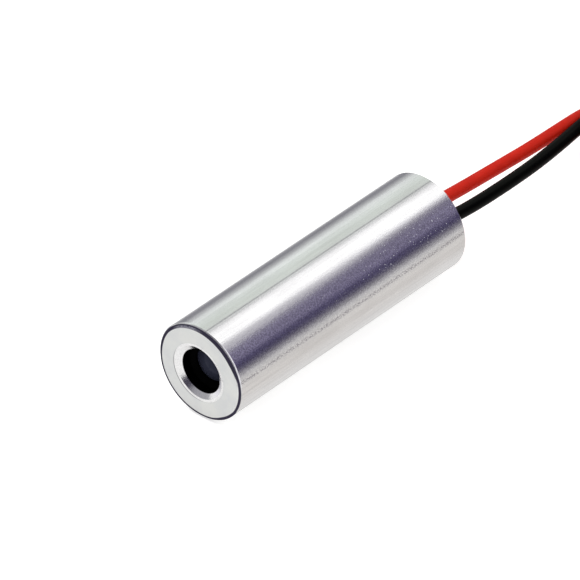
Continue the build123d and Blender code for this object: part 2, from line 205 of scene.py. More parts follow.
def placeOnBend(maker, given, angle, radius, upward=0.0):
    # a point at this angle along the bend, this far from the bend's middle
    x = maker.math("SUBTRACT", given["Bend"], maker.times(radius, maker.math("COSINE", angle)))
    y = maker.times(radius, maker.math("SINE", angle))
    point = maker.add("ShaderNodeCombineXYZ", {"X": x, "Y": y, "Z": upward}).outputs[0]
    return maker.add("ShaderNodeVectorMath", {0: point, 1: given["Start"]}, operation="ADD").outputs[0]


def buildTipTree(material, choice):
    # strands wound round the end's bend: each strand is a line of points moved onto a twisted path
    tree = bpy.data.node_groups.new("twistedStrands", "GeometryNodeTree")
    sizes = {
        "Strands": ("NodeSocketInt", choice["strands"] - 1),
        "Strand Radius": ("NodeSocketFloat", choice["strandRadius"] * mm),
        "Lay": ("NodeSocketFloat", choice["lay"] * mm),
        "Length": ("NodeSocketFloat", (choice["length"] + choice["startInset"]) * mm),
        "Bend": ("NodeSocketFloat", choice["bend"] * mm),
        "Start": ("NodeSocketVector", None),
    }
    for name, (kind, value) in sizes.items():
        socket = tree.interface.new_socket(name=name, in_out="INPUT", socket_type=kind)
        if value is not None:
            socket.default_value = value
    tree.interface.new_socket(name="Geometry", in_out="OUTPUT", socket_type="NodeSocketGeometry")
    maker = TreeMaker(tree)
    given = maker.add("NodeGroupInput").outputs
    line = maker.add("GeometryNodeCurvePrimitiveLine", {"End": (1.0, 0.0, 0.0)}).outputs[0]
    strand = maker.add("GeometryNodeResampleCurve", {"Curve": line, "Count": choice["sections"]}).outputs[0]
    copies = maker.add(
        "GeometryNodeDuplicateElements", {"Geometry": strand, "Amount": given["Strands"]}, domain="SPLINE"
    )
    along = maker.add("GeometryNodeSplineParameter").outputs["Factor"]
    distance = maker.times(along, given["Length"])
    bendAngle = maker.math("DIVIDE", distance, given["Bend"])
    share = maker.math("DIVIDE", copies.outputs["Duplicate Index"], given["Strands"])
    twist = maker.math("ADD", maker.math("DIVIDE", distance, given["Lay"]), share)
    twistAngle = maker.times(twist, math.tau)
    fromCore = maker.times(given["Strand Radius"], 2.0)  # the strands touch the core one
    inPlane = maker.times(maker.math("COSINE", twistAngle), fromCore)
    upward = maker.times(maker.math("SINE", twistAngle), fromCore)
    radius = maker.math("ADD", inPlane, given["Bend"])
    wound = placeOnBend(maker, given, bendAngle, radius, upward)
    straight = placeOnBend(maker, given, bendAngle, given["Bend"])
    outer = maker.add("GeometryNodeSetPosition", {"Geometry": copies.outputs[0], "Position": wound})
    core = maker.add("GeometryNodeSetPosition", {"Geometry": strand, "Position": straight})
    joined = maker.add("GeometryNodeJoinGeometry")
    maker.link(outer.outputs[0], joined, 0)
    maker.link(core.outputs[0], joined, 0)
    profile = maker.add(
        "GeometryNodeCurvePrimitiveCircle", {"Resolution": choice["sides"], "Radius": given["Strand Radius"]}
    )
    tube = maker.add(
        "GeometryNodeCurveToMesh",
        {"Curve": joined.outputs[0], "Profile Curve": profile.outputs[0], "Fill Caps": True},
    )
    smooth = maker.add("GeometryNodeSetShadeSmooth", {"Geometry": tube.outputs[0]})
    real = maker.add("GeometryNodeRealizeInstances", {"Geometry": smooth.outputs[0]})
    painted = maker.add("GeometryNodeSetMaterial", {"Geometry": real.outputs[0], "Material": material})
    maker.add("NodeGroupOutput", {"Geometry": painted.outputs[0]})
    return tree


def makeTip(name, level, tree):
    # the strands start at the insulation's cut end and bend with the coil's inner turn
    mesh = bpy.data.meshes.new(name + "Base")
    base = bpy.data.objects.new(name + "Base", mesh)
    scene.collection.objects.link(base)
    modifier = base.modifiers.new("strands", "NODES")
    modifier.node_group = tree
    centreX, centreY = leadChoice["coilCentre"]
    outer = (leadChoice["coilAcross"] + leadChoice["diameter"]) / 2
    endX = centreX - outer + leadChoice["turns"] * leadChoice["diameter"]
    start = (endX * mm, (centreY - tipChoice["startInset"]) * mm, level * mm)
    for item in tree.interface.items_tree:
        if item.in_out == "INPUT" and item.name == "Start":
            modifier[item.identifier] = start
    bpy.context.view_layer.update()
    evaluated = base.evaluated_get(bpy.context.evaluated_depsgraph_get())
    finished = bpy.data.meshes.new_from_object(evaluated)
    finished.name = name
    bpy.data.objects.remove(base)
    tip = bpy.data.objects.new(name, finished)
    scene.collection.objects.link(tip)
    return tip


# finishes
grainSpread = (0.3, 0.7)  # the part of a noise's range that is stretched over the whole
cloudSpread = (0.35, 0.65)


def newMaterial(name):
    material = bpy.data.materials.new(name)
    material.use_nodes = True
    material.node_tree.nodes.clear()
    return material, TreeMaker(material.node_tree)


def newFinish(name):
    material, maker = newMaterial(name)
    surface = maker.add("ShaderNodeBsdfPrincipled")
    maker.add("ShaderNodeOutputMaterial", {"Surface": surface.outputs[0]})
    return material, maker, surface


def blendColour(maker, factor, first, second):
    mixed = maker.add("ShaderNodeMix", {0: factor, 6: first, 7: second}, data_type="RGBA")
    return mixed.outputs[2]


def blendNumber(maker, factor, first, second):
    return maker.add("ShaderNodeMix", {0: factor, 2: first, 3: second}).outputs[0]


def remap(maker, value, low, high, newLow=0.0, newHigh=1.0):
    given = {0: value, 1: low, 2: high, 3: newLow, 4: newHigh}
    return maker.add("ShaderNodeMapRange", given).outputs[0]


def within(maker, value, low, high, blur):
    # one between low and high, nothing outside them
    rise = remap(maker, value, low - blur, low + blur)
    fall = remap(maker, value, high - blur, high + blur, 1.0, 0.0)
    return maker.times(rise, fall)


def noise(maker, place, size, detail=3.0, roughness=0.6, stretch=(1.0, 1.0, 1.0)):
    # size is that of one grain in mm
    mapped = maker.add("ShaderNodeMapping", {"Vector": place, "Scale": stretch}).outputs[0]
    given = {"Vector": mapped, "Scale": 1 / (size * mm), "Detail": detail, "Roughness": roughness}
    return maker.add("ShaderNodeTexNoise", given).outputs[0]


def giveRelief(maker, surface, height, relief):
    # relief is in thousandths of a mm
    bump = maker.add("ShaderNodeBump", {"Height": height, "Strength": 1.0, "Distance": relief * micron})
    maker.link(bump.outputs[0], surface, "Normal")


def opaque(colour):
    return (*colour, 1.0)


def blendShades(maker, factor, shades):
    first, second = shades
    return blendColour(maker, factor, opaque(first), opaque(second))


# what each plain finish looks like: two shades, grain and cloud sizes in mm, relief in thousandths of a mm
plainFinishes = {
    "blackSleeve": {
        "shades": [(0.0003, 0.0003, 0.0004), (0.0008, 0.0008, 0.001)], "metal": 0.0, "specular": 0.02,
        "rough": (0.55, 0.7), "grain": 0.05, "cloud": 0.8, "relief": 1.5, "stretch": (1, 6, 1),
    },
    "springSteel": {
        "shades": [(0.42, 0.42, 0.43), (0.55, 0.55, 0.56)], "metal": 1.0,
        "rough": (0.22, 0.36), "grain": 0.04, "cloud": 0.5, "relief": 1.0, "stretch": (1, 1, 1),
    },
    "turnedBrass": {
        "shades": [(0.72, 0.46, 0.16), (0.80, 0.55, 0.22)], "metal": 1.0,
        "rough": (0.2, 0.36), "grain": 0.05, "cloud": 1.2, "relief": 1.2, "stretch": (1, 8, 1),
    },
    "goldPlate": {
        "shades": [(0.85, 0.58, 0.2), (0.92, 0.68, 0.28)], "metal": 1.0,
        "rough": (0.16, 0.3), "grain": 0.03, "cloud": 0.7, "relief": 0.6, "stretch": (1, 1, 1),
    },
    "nickelCan": {
        "shades": [(0.6, 0.58, 0.54), (0.7, 0.68, 0.64)], "metal": 1.0,
        "rough": (0.18, 0.32), "grain": 0.04, "cloud": 0.9, "relief": 0.8, "stretch": (1, 3, 1),
    },
    "sealGlass": {
        "shades": [(0.03, 0.035, 0.04), (0.05, 0.06, 0.07)], "metal": 0.0,
        "rough": (0.08, 0.2), "grain": 0.06, "cloud": 0.4, "relief": 0.8, "stretch": (1, 1, 1),
    },
    "chipCrystal": {
        "shades": [(0.09, 0.08, 0.11), (0.16, 0.14, 0.18)], "metal": 0.6,
        "rough": (0.1, 0.2), "grain": 0.03, "cloud": 0.2, "relief": 0.2, "stretch": (1, 1, 1),
    },
    "whiteCeramic": {
        "shades": [(0.72, 0.71, 0.68), (0.8, 0.79, 0.76)], "metal": 0.0,
        "rough": (0.5, 0.7), "grain": 0.03, "cloud": 0.5, "relief": 1.0, "stretch": (1, 1, 1),
    },
    "boardGreen": {
        "shades": [(0.012, 0.11, 0.045), (0.02, 0.15, 0.06)], "metal": 0.0,
        "rough": (0.28, 0.42), "grain": 0.12, "cloud": 1.6, "relief": 2.5, "stretch": (1, 1, 1),
    },
    "blackMoulding": {
        "shades": [(0.012, 0.012, 0.013), (0.022, 0.022, 0.024)], "metal": 0.0,
        "rough": (0.5, 0.7), "grain": 0.03, "cloud": 0.5, "relief": 2.5, "stretch": (1, 1, 1),
    },
    "tinnedMetal": {
        "shades": [(0.52, 0.52, 0.51), (0.68, 0.68, 0.66)], "metal": 1.0,
        "rough": (0.2, 0.42), "grain": 0.08, "cloud": 0.35, "relief": 3.0, "stretch": (1, 1, 1),
    },
    "darkCeramic": {
        "shades": [(0.02, 0.02, 0.024), (0.035, 0.035, 0.04)], "metal": 0.0,
        "rough": (0.35, 0.5), "grain": 0.03, "cloud": 0.3, "relief": 1.0, "stretch": (1, 1, 1),
    },
    "tanCeramic": {
        "shades": [(0.36, 0.24, 0.13), (0.46, 0.32, 0.19)], "metal": 0.0,
        "rough": (0.4, 0.6), "grain": 0.03, "cloud": 0.3, "relief": 1.0, "stretch": (1, 1, 1),
    },
    "blackResin": {
        "shades": [(0.008, 0.008, 0.009), (0.016, 0.016, 0.017)], "metal": 0.0,
        "rough": (0.16, 0.34), "grain": 0.35, "cloud": 1.4, "relief": 12.0, "stretch": (1, 1, 1),
    },
}


def makePlainFinish(name, look):
    material, maker, surface = newFinish(name)
    place = maker.add("ShaderNodeTexCoord").outputs["Object"]
    grain = noise(maker, place, look["grain"], stretch=look["stretch"])
    cloud = noise(maker, place, look["cloud"], detail=2.0)
    shade = remap(maker, cloud, *cloudSpread)
    maker.link(blendShades(maker, shade, look["shades"]), surface, "Base Color")
    maker.link(remap(maker, grain, *grainSpread, *look["rough"]), surface, "Roughness")
    giveRelief(maker, surface, grain, look["relief"])
    surface.inputs["Metallic"].default_value = look["metal"]
    surface.inputs["Specular IOR Level"].default_value = look.get("specular", 0.5)
    return material


# the barrel: sizes in mm, and angles in degrees round it, up from +X, with their blur last
barrelLook = {
    "shades": [(0.84, 0.833, 0.838), (0.945, 0.941, 0.945)],
    "shadeSpread": (0.76, 1.24),  # of cloud and streak together
    "rough": (0.1, 0.18),
    "cloud": 1.6,
    "cloudStretch": (1, 0.35, 1),
    "streak": 0.28,  # left by drawing along the barrel
    "streakStretch": (1, 0.025, 1),
    "streakRelief": 0.02,  # beside the grain's
    "grain": 0.09,
    "grainRoughness": 0.65,
    "grainRelief": 6.3,  # thousandths of a mm
    "speckle": 0.08,
    "speckleStretch": (1, 0.6, 1),
    "speckleSpread": (0.42, 0.6),
    # painted reflections along the barrel, as dark lines: angle, half width in degrees, strength, how dotted
    "paintedLines": [(81.7, 1.4, 0.7, 0.4), (11.8, 3.2, 0.8, 1.0), (15.0, 6.0, 0.25, 1.0), (-3.0, 3.0, 0.1, 1.0)],
    "paintedLineColour": (0.3, 0.285, 0.32),
    "pit": 0.1,
    "pitSpread": (0.4, 0.62),
    "pitShare": (0.08, 0.48),  # how dark they are: as grain on most of the barrel, and darker as painted dark reflection where the dark band is mirrored
    "pitColour": (0.2, 0.19, 0.22),
    "darkBandAngles": (21, 50, 7),
    "dust": 0.11,  # few light specks in the dark band
    "dustSpread": (0.77, 0.83),
    "dustShare": (0.0, 0.8),
    "dustColour": (0.85, 0.85, 0.92),
    "dustAngles": (26, 54, 3),
    "dustDepth": (4.0, 18.0),  # behind the front face, where it starts and is full
    # its front end: depths are behind the front face, and the rest is from the axis
    "blur": 0.02,
    "outside": 7.35,  # past all that is finished here
    "face": [(0.75, 0.76, 0.765), (0.81, 0.815, 0.8)],
    "faceRough": (0.42, 0.55),
    "faceDepth": 0.03,
    "faceFrom": 2.42,
    "turning": 0.11,  # from ring to ring
    "turningRelief": 0.1,  # beside the grain's
    # painted dark reflection and shade along the broken edge, as a dark line
    "edgeShadeColour": (0.03, 0.027, 0.045),
    "edgeFrom": 3.675,
    "bulge": 0.155,  # how much further out it starts on the right
    "bulgeAngles": (-42, 25, 12),
    # how deep it goes, added up: least, most, the angle of the most, and the cosines round it for both
    "edgeDepths": [(0.17, 0.245, -50, -0.09, 0.9), (0.0, 0.2, -75, 0.68, 0.89)],
    "lowLeft": (-0.8, -0.6),  # the way in which it gets wider
    "lowLeftFrom": (1.0, 2.4),
    "lowLeftWider": 0.08,
    "topShades": [(0.09, 0.085, 0.12), (0.27, 0.27, 0.3)],  # its upper part, painted lighter as a painted reflection
    "topTo": 3.84,
    "topAngles": (92, 124, 8),
    # the painted highlight behind it, upper right: a light line where the edge catches the light
    "glintColour": (0.84, 0.82, 0.9),
    "glintShare": 0.6,
    "glintDepth": (0.2, 0.3),
    "glintAngles": (6, 58, 8),
    "lipLine": (2.38, 2.49),  # painted shade: a thin dark line round the countersink, the shaded side of a slight lip
    "lipShade": (0.05, 0.75),  # at the upper right and at the lower left
    "sinkRough": 0.13,
    "sinkDepth": (0.02, 0.05),
    "sinkLightColour": (0.62, 0.6, 0.68),  # painted light on the right side of the countersink
    "sinkShare": 0.55,
    "sinkAngles": (-48, 12, 14),
    "holeColour": (0.005, 0.005, 0.008),
    "holeDepth": 0.27,
    "holeRadius": 1.86,
}


def findSpot(maker):
    # where a point of the barrel lies, in mm and degrees from the middle of its front face
    place = maker.add("ShaderNodeTexCoord").outputs["Object"]
    toMm = {"Vector": place, "Scale": (1 / mm, 1 / mm, 1 / mm), "Location": tuple(-frontFace)}
    fromFace = maker.add("ShaderNodeMapping", toMm).outputs[0]
    across, depth, up = maker.add("ShaderNodeSeparateXYZ", {0: fromFace}).outputs
    radius = maker.math("SQRT", maker.math("MULTIPLY_ADD", across, across, maker.times(up, up)))
    angle = maker.math("DEGREES", maker.math("ARCTAN2", up, across))
    return {"place": place, "across": across, "depth": depth, "up": up, "radius": radius, "angle": angle}


def makeNoises(maker, look, place):
    speckle = noise(maker, place, look["speckle"], detail=2.0, stretch=look["speckleStretch"])
    return {
        "grain": noise(maker, place, look["grain"], roughness=look["grainRoughness"]),
        "cloud": noise(maker, place, look["cloud"], stretch=look["cloudStretch"]),
        "streak": noise(maker, place, look["streak"], detail=2.0, stretch=look["streakStretch"]),
        "speckle": remap(maker, speckle, *look["speckleSpread"]),
        "pit": remap(maker, noise(maker, place, look["pit"], detail=1.0), *look["pitSpread"]),
        "dust": remap(maker, noise(maker, place, look["dust"], detail=0.0), *look["dustSpread"]),
    }


def platingColour(maker, look, spot, noises):
    # clouds and streaks, then the painted reflections as lines along the barrel, the pits and the dust
    shade = remap(maker, maker.math("ADD", noises["cloud"], noises["streak"]), *look["shadeSpread"])
    colour = blendShades(maker, shade, look["shades"])
    paintedLines = 0.0
    # painted reflections: dark lines along the barrel at fixed angles round it
    for lineAngle, halfWidth, strength, dotted in look["paintedLines"]:
        away = maker.math("ABSOLUTE", maker.math("SUBTRACT", spot["angle"], lineAngle))
        near = remap(maker, away, 0.0, halfWidth, strength, 0.0)
        dots = remap(maker, noises["speckle"], 0.0, 1.0, 1.0 - dotted, 1.0)
        paintedLines = maker.math("MULTIPLY_ADD", near, dots, paintedLines)
    colour = blendColour(maker, paintedLines, colour, opaque(look["paintedLineColour"]))
    # pits darker where the dark band is mirrored: grain with painted dark reflection
    darkBandSide = within(maker, spot["angle"], *look["darkBandAngles"])
    pits = maker.times(noises["pit"], remap(maker, darkBandSide, 0.0, 1.0, *look["pitShare"]))
    colour = blendColour(maker, pits, colour, opaque(look["pitColour"]))
    dustSide = within(maker, spot["angle"], *look["dustAngles"])
    rearward = remap(maker, spot["depth"], *look["dustDepth"], *look["dustShare"])
    dust = maker.times(noises["dust"], dustSide, rearward)
    return blendColour(maker, dust, colour, opaque(look["dustColour"])), dust


def paintedEdgeShade(maker, look, spot):
    # where the painted dark reflection and shade along the broken edge lies, with its own distance from the
    # axis
    endDepth = 0.0
    for least, most, mostAngle, lowCosine, highCosine in look["edgeDepths"]:
        fromMost = maker.math("RADIANS", maker.math("SUBTRACT", spot["angle"], mostAngle))
        more = remap(maker, maker.math("COSINE", fromMost), lowCosine, highCosine, least, most)
        endDepth = maker.math("ADD", more, endDepth)
    acrossShare, upShare = look["lowLeft"]
    away = maker.math("MULTIPLY_ADD", spot["across"], acrossShare, maker.times(spot["up"], upShare))
    lowLeft = remap(maker, away, *look["lowLeftFrom"])
    bulge = maker.times(within(maker, spot["angle"], *look["bulgeAngles"]), look["bulge"])
    wider = maker.times(lowLeft, look["lowLeftWider"])
    edgeRadius = maker.math("ADD", maker.math("SUBTRACT", spot["radius"], bulge), wider)
    pastEnd = maker.math("SUBTRACT", spot["depth"], endDepth)
    beforeEnd = remap(maker, pastEnd, -look["blur"], look["blur"], 1.0, 0.0)
    onEdgeShade = within(maker, edgeRadius, look["edgeFrom"], look["outside"], look["blur"])
    return maker.times(onEdgeShade, beforeEnd), edgeRadius, lowLeft


def makeBarrelFinish(look):
    material, maker, surface = newFinish("satinPlating")
    spot = findSpot(maker)
    noises = makeNoises(maker, look, spot["place"])
    colour, dust = platingColour(maker, look, spot, noises)
    depth, radius, angle = spot["depth"], spot["radius"], spot["angle"]
    blur, outside = look["blur"], look["outside"]
    # front face
    onFace = maker.times(
        within(maker, depth, -outside, look["faceDepth"], blur / 2),
        within(maker, radius, look["faceFrom"], outside, blur),
    )
    face = blendShades(maker, remap(maker, noises["cloud"], *cloudSpread), look["face"])
    colour = blendColour(maker, onFace, colour, face)
    # painted highlight behind the edge, painted shade of the lip round the countersink, painted dark
    # reflection and shade along the edge, and a painted lighter reflection at its top
    onEdgeShade, edgeRadius, lowLeft = paintedEdgeShade(maker, look, spot)
    # painted highlight: a light line behind the broken edge, upper right
    glint = maker.times(
        within(maker, angle, *look["glintAngles"]),
        look["glintShare"],
        within(maker, depth, *look["glintDepth"], blur),
        remap(maker, radius, look["edgeFrom"], look["topTo"]),
    )
    colour = blendColour(maker, glint, colour, opaque(look["glintColour"]))
    # painted shade of the lip round the countersink, strongest at the lower left
    lipShade = maker.times(onFace, remap(maker, lowLeft, 0.0, 1.0, *look["lipShade"]))
    lip = maker.times(within(maker, radius, *look["lipLine"], blur), lipShade)
    colour = blendColour(maker, lip, colour, opaque(look["edgeShadeColour"]))
    # painted dark reflection and shade along the broken edge
    colour = blendColour(maker, onEdgeShade, colour, opaque(look["edgeShadeColour"]))
    # painted reflection: the top of the dark edge line made lighter
    paintedTopLight = maker.times(
        within(maker, angle, *look["topAngles"]),
        within(maker, edgeRadius, look["edgeFrom"], look["topTo"], blur),
        onEdgeShade,
    )
    colour = blendColour(maker, paintedTopLight, colour, blendShades(maker, noises["speckle"], look["topShades"]))
    # countersink, and the hole's wall coloured near black
    inSink = maker.times(
        within(maker, radius, 0.0, look["faceFrom"], blur), remap(maker, depth, *look["sinkDepth"])
    )
    # painted light on the countersink's right side
    sinkLight = maker.times(within(maker, angle, *look["sinkAngles"]), look["sinkShare"], inSink)
    colour = blendColour(maker, sinkLight, colour, opaque(look["sinkLightColour"]))
    inHole = maker.times(
        within(maker, radius, -outside, look["holeRadius"], blur),
        within(maker, depth, look["holeDepth"], outside, blur / 2),
    )
    colour = blendColour(maker, inHole, colour, opaque(look["holeColour"]))
    maker.link(colour, surface, "Base Color")
    platingRough = remap(maker, noises["grain"], *grainSpread, *look["rough"])
    faceRough = remap(maker, noises["grain"], *grainSpread, *look["faceRough"])
    rough = blendNumber(maker, onFace, platingRough, faceRough)
    maker.link(blendNumber(maker, inSink, rough, look["sinkRough"]), surface, "Roughness")
    # relief: grain and streaks everywhere, turning rings on the front face
    turned = maker.math("SINE", maker.times(radius, math.tau / look["turning"]))
    rings = maker.times(turned, onFace, look["turningRelief"])
    drawn = maker.math("MULTIPLY_ADD", noises["streak"], look["streakRelief"], noises["grain"])
    giveRelief(maker, surface, maker.math("ADD", drawn, rings), look["grainRelief"])
    # all is metal but the painted shade and painted highlight along the edge, the dust and the painted light
    # on the countersink's right side
    matt = 0.0
    for share in (onEdgeShade, glint, dust, sinkLight):
        matt = maker.math("MAXIMUM", share, matt)
    maker.link(maker.math("SUBTRACT", 1.0, matt), surface, "Metallic")
    surface.inputs["Specular IOR Level"].default_value = 0.0
    return material


glassLooks = {
    "coatedLens": {
        "tint": [(0.019, 0.0205, 0.034), (0.023, 0.025, 0.04)], "rough": (0.02, 0.06),
        "clear": 0.0, "coating": (0.5, 0.55, 1.0), "specular": 0.05,
    },
    "windowGlass": {
        "tint": [(0.9, 0.92, 0.92), (0.95, 0.96, 0.96)], "rough": (0.01, 0.04),
        "clear": 1.0, "coating": (1.0, 1.0, 1.0), "specular": 0.5,
    },
}
glassGrain = {
    "cloud": 0.9,  # mm
    "dust": 0.05,
    "dustSpread": (0.4, 0.7),
    "relief": 0.5,  # thousandths of a mm
    "ior": 1.5,
}


def makeGlassFinish(name, look, grain):
    material, maker, surface = newFinish(name)
    place = maker.add("ShaderNodeTexCoord").outputs["Object"]
    cloud = noise(maker, place, grain["cloud"], detail=2.0)
    dust = noise(maker, place, grain["dust"], detail=2.0)
    maker.link(blendShades(maker, cloud, look["tint"]), surface, "Base Color")
    maker.link(remap(maker, dust, *grain["dustSpread"], *look["rough"]), surface, "Roughness")
    giveRelief(maker, surface, cloud, grain["relief"])
    surface.inputs["Transmission Weight"].default_value = look["clear"]
    surface.inputs["IOR"].default_value = grain["ior"]
    surface.inputs["Specular Tint"].default_value = opaque(look["coating"])
    surface.inputs["Specular IOR Level"].default_value = look["specular"]
    return material


vinylLooks = {
    "redVinyl": {
        "shades": [(0.53, 0.009, 0.001), (0.64, 0.014, 0.0025)], "rough": (0.45, 0.6), "specular": 0.13,
    },
    "blackVinyl": {
        "shades": [(0.0002, 0.0003, 0.0), (0.0005, 0.0007, 0.0001)], "rough": (0.3, 0.42), "specular": 0.05,
    },
}
# extruded insulation: long faint waves, die lines along it and a little handling haze, sizes in mm
vinylGrain = {
    "waves": 2.2,
    "lines": 0.16,
    "linesStretch": (1, 0.12, 1),
    "linesShare": 0.35,
    "shadeSpread": (0.45, 0.9),
    "haze": 0.5,
    "wavesHeight": 6.0,  # beside the lines'
    "relief": 3.0,  # thousandths of a mm
}


def makeVinylFinish(name, look, grain):
    material, maker, surface = newFinish(name)
    place = maker.add("ShaderNodeTexCoord").outputs["Object"]
    waves = noise(maker, place, grain["waves"], detail=2.0)
    lines = noise(maker, place, grain["lines"], stretch=grain["linesStretch"])
    haze = noise(maker, place, grain["haze"], detail=4.0)
    shade = maker.math("ADD", waves, maker.times(lines, grain["linesShare"]))
    shade = remap(maker, shade, *grain["shadeSpread"])
    maker.link(blendShades(maker, shade, look["shades"]), surface, "Base Color")
    maker.link(remap(maker, haze, *cloudSpread, *look["rough"]), surface, "Roughness")
    height = maker.math("ADD", maker.times(waves, grain["wavesHeight"]), lines)
    giveRelief(maker, surface, height, grain["relief"])
    surface.inputs["Specular IOR Level"].default_value = look["specular"]
    return material


finishes = {name: makePlainFinish(name, look) for name, look in plainFinishes.items()}
finishes["satinPlating"] = makeBarrelFinish(barrelLook)
for name, look in glassLooks.items():
    finishes[name] = makeGlassFinish(name, look, glassGrain)
for name, look in vinylLooks.items():
    finishes[name] = makeVinylFinish(name, look, vinylGrain)
print("finishes made:", len(finishes))

nodeFinishes = {
    "satinPlating": ["housing"],
    "blackSleeve": ["lens_barrel", "lens_ring"],
    "coatedLens": ["lens"],
    "springSteel": ["focus_spring"],
    "turnedBrass": ["diode_holder", "diode_clamp_ring"],
    "goldPlate": ["diode_header", "laser_pin", "monitor_pin", "common_pin"],
    "nickelCan": ["diode_can"],
    "windowGlass": ["diode_window"],
    "whiteCeramic": ["laser_submount", "trimmer_base"],
    "chipCrystal": ["laser_chip", "monitor_photodiode"],
    "sealGlass": ["glass_seals"],
    "boardGreen": ["driver_board"],
    "blackMoulding": ["pass_transistor", "sense_transistor"],
    "tinnedMetal": [
        "pass_transistor_legs", "sense_transistor_legs", "solder_joints", "red_conductor", "black_conductor",
        "trimmer_rotor", "red_lead_tip", "black_lead_tip",
    ],
    "darkCeramic": ["chip_resistor_1", "chip_resistor_2", "chip_resistor_3"],
    "tanCeramic": ["chip_capacitor_1", "chip_capacitor_2"],
    "blackResin": ["rear_potting"],
    "redVinyl": ["red_lead", "red_lead_coil"],
    "blackVinyl": ["black_lead", "black_lead_coil"],
}
for finishName, members in nodeFinishes.items():
    for member in members:
        nodes[member].data.materials.clear()
        nodes[member].data.materials.append(finishes[finishName])
redLead.data.materials.append(finishes["redVinyl"])
blackLead.data.materials.append(finishes["blackVinyl"])

tipTree = buildTipTree(finishes["tinnedMetal"], tipChoice)
redTip = makeTip("redStrands", redRoute[-1][2], tipTree)
blackTip = makeTip("blackStrands", blackRoute[-1][2], tipTree)
print("tinned ends made")

# the pieces join the frame
leadPieces = [
    (redLead, redTip, "red", "red_pvc", redRoute),
    (blackLead, blackTip, "black", "black_pvc", blackRoute),
]
for lead, tip, colour, slot, route in leadPieces:
    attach(lead, "root")
    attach(tip, "root")
    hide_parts(colour + "_lead", colour + "_lead_coil")
    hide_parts(colour + "_lead_tip")

# table, room and lamps
# what a ray from the metal meets, in degrees round the barrel up from +X, with its brightness
roomBands = [
    (-180, (0.3, 0.3, 0.31)),
    (-90, (0.7, 0.7, 0.69)),
    (-12, (0.5, 0.5, 0.5)),
    (-1, (0.26, 0.25, 0.28)),
    (4, (0.14, 0.128, 0.185)),
    (10, (0.062, 0.053, 0.113)),
    (18, (0.078, 0.066, 0.145)),
    (30, (0.205, 0.184, 0.29)),
    (44, (0.22, 0.2, 0.3)),
    (60, (0.15, 0.136, 0.2)),
    (67, (0.19, 0.175, 0.24)),
    (75, (1.18, 1.18, 1.18)),
    (95, (1.18, 1.18, 1.18)),
    (99, (1.0, 1.0, 1.0)),
    (107, (0.96, 0.96, 0.96)),
    (110, (0.45, 0.44, 0.48)),
    (113, (0.62, 0.64, 0.62)),
    (122, (0.68, 0.73, 0.68)),
    (143, (0.7, 0.75, 0.71)),
    (153, (0.9, 0.94, 0.92)),
    (169, (0.5, 0.51, 0.52)),
    (180, (0.3, 0.3, 0.32)),
]
# painted light and shade on the floor as the metal mirrors it, in mm across the module
floorBands = [
    (-100, (0.25, 0.25, 0.275)),
    (-28, (0.25, 0.25, 0.275)),
    (-21, (0.3, 0.3, 0.325)),
    (-17, (0.46, 0.46, 0.475)),
    (-13, (0.76, 0.76, 0.77)),
    (-10, (0.81, 0.81, 0.81)),
    (-2, (0.73, 0.725, 0.715)),
    (2.3, (0.72, 0.715, 0.705)),
    (3.4, (0.765, 0.755, 0.745)),
    (7, (0.69, 0.665, 0.64)),
    (24, (0.655, 0.645, 0.64)),
    (36, (0.53, 0.52, 0.54)),
    (75, (0.25, 0.24, 0.27)),
]
# the same as roomBands for rays that go forward, where the photographer's side is dark
frontBands = [
    (-180, (0.3, 0.3, 0.31)),
    (0, (0.06, 0.055, 0.08)),
    (100, (0.06, 0.055, 0.08)),
    (125, (0.34, 0.34, 0.37)),
    (180, (0.4, 0.4, 0.42)),
]
white = (1.0, 1.0, 1.0, 1.0)
roomChoice = {
    "frontFrom": (-0.32, -0.5),  # how far forward a ray goes where the dark side starts and is full
    "sideLamp": (1.1, 1.1, 1.12),
    "sideLampForward": (-0.28, 0.22, 0.05),  # from, to, blur
    "sideLampAngles": (8, 62, 4),
    "fill": 0.9,  # what matt surfaces get from all round
    "floorColour": (0.88, 0.88, 0.87),
    "floorLift": 0.5,
    "floorGlow": 0.6,  # what the floor adds to the light under the leads
    "floorAhead": (0.95, 0.95, 0.94),
    "aheadFrom": (-11.5, -14.5),  # mm along the module, where the floor in front of it is painted brighter
    "floorSize": 6.0,
    "keyPower": 1.7,
    "keySize": 0.5,
    "keyPlace": (-0.25, -0.35, 0.9),
}


def brightnessRamp(maker, value, bands):
    # the value runs from the place of the first band to as far past zero
    reach = -bands[0][0]
    ramp = maker.add("ShaderNodeValToRGB", {0: remap(maker, value, -reach, reach)})
    elements = ramp.color_ramp.elements
    while len(elements) > 1:
        elements.remove(elements[-1])
    elements[0].position = 0.0
    elements[0].color = opaque(bands[0][1])
    for place, colour in bands[1:]:
        elements.new((place / reach + 1) / 2).color = opaque(colour)
    return ramp.outputs[0]


def glow(maker, colour, strength=1.0, kind="ShaderNodeEmission"):
    return maker.add(kind, {"Color": colour, "Strength": strength}).outputs[0]


def addShaders(maker, first, second):
    return maker.add("ShaderNodeAddShader", {0: first, 1: second}).outputs[0]


def mixShaders(maker, share, first, second):
    return maker.add("ShaderNodeMixShader", {0: share, 1: first, 2: second}).outputs[0]


def sortRays(maker, matt, mirrored, seen):
    # what matt surfaces get, what metal mirrors, and what is seen directly or through glass
    rays = maker.add("ShaderNodeLightPath").outputs
    inMetal = mixShaders(maker, rays["Is Glossy Ray"], matt, mirrored)
    direct = maker.math("MAXIMUM", rays["Is Camera Ray"], rays["Is Transmission Ray"])
    return mixShaders(maker, direct, inMetal, seen)


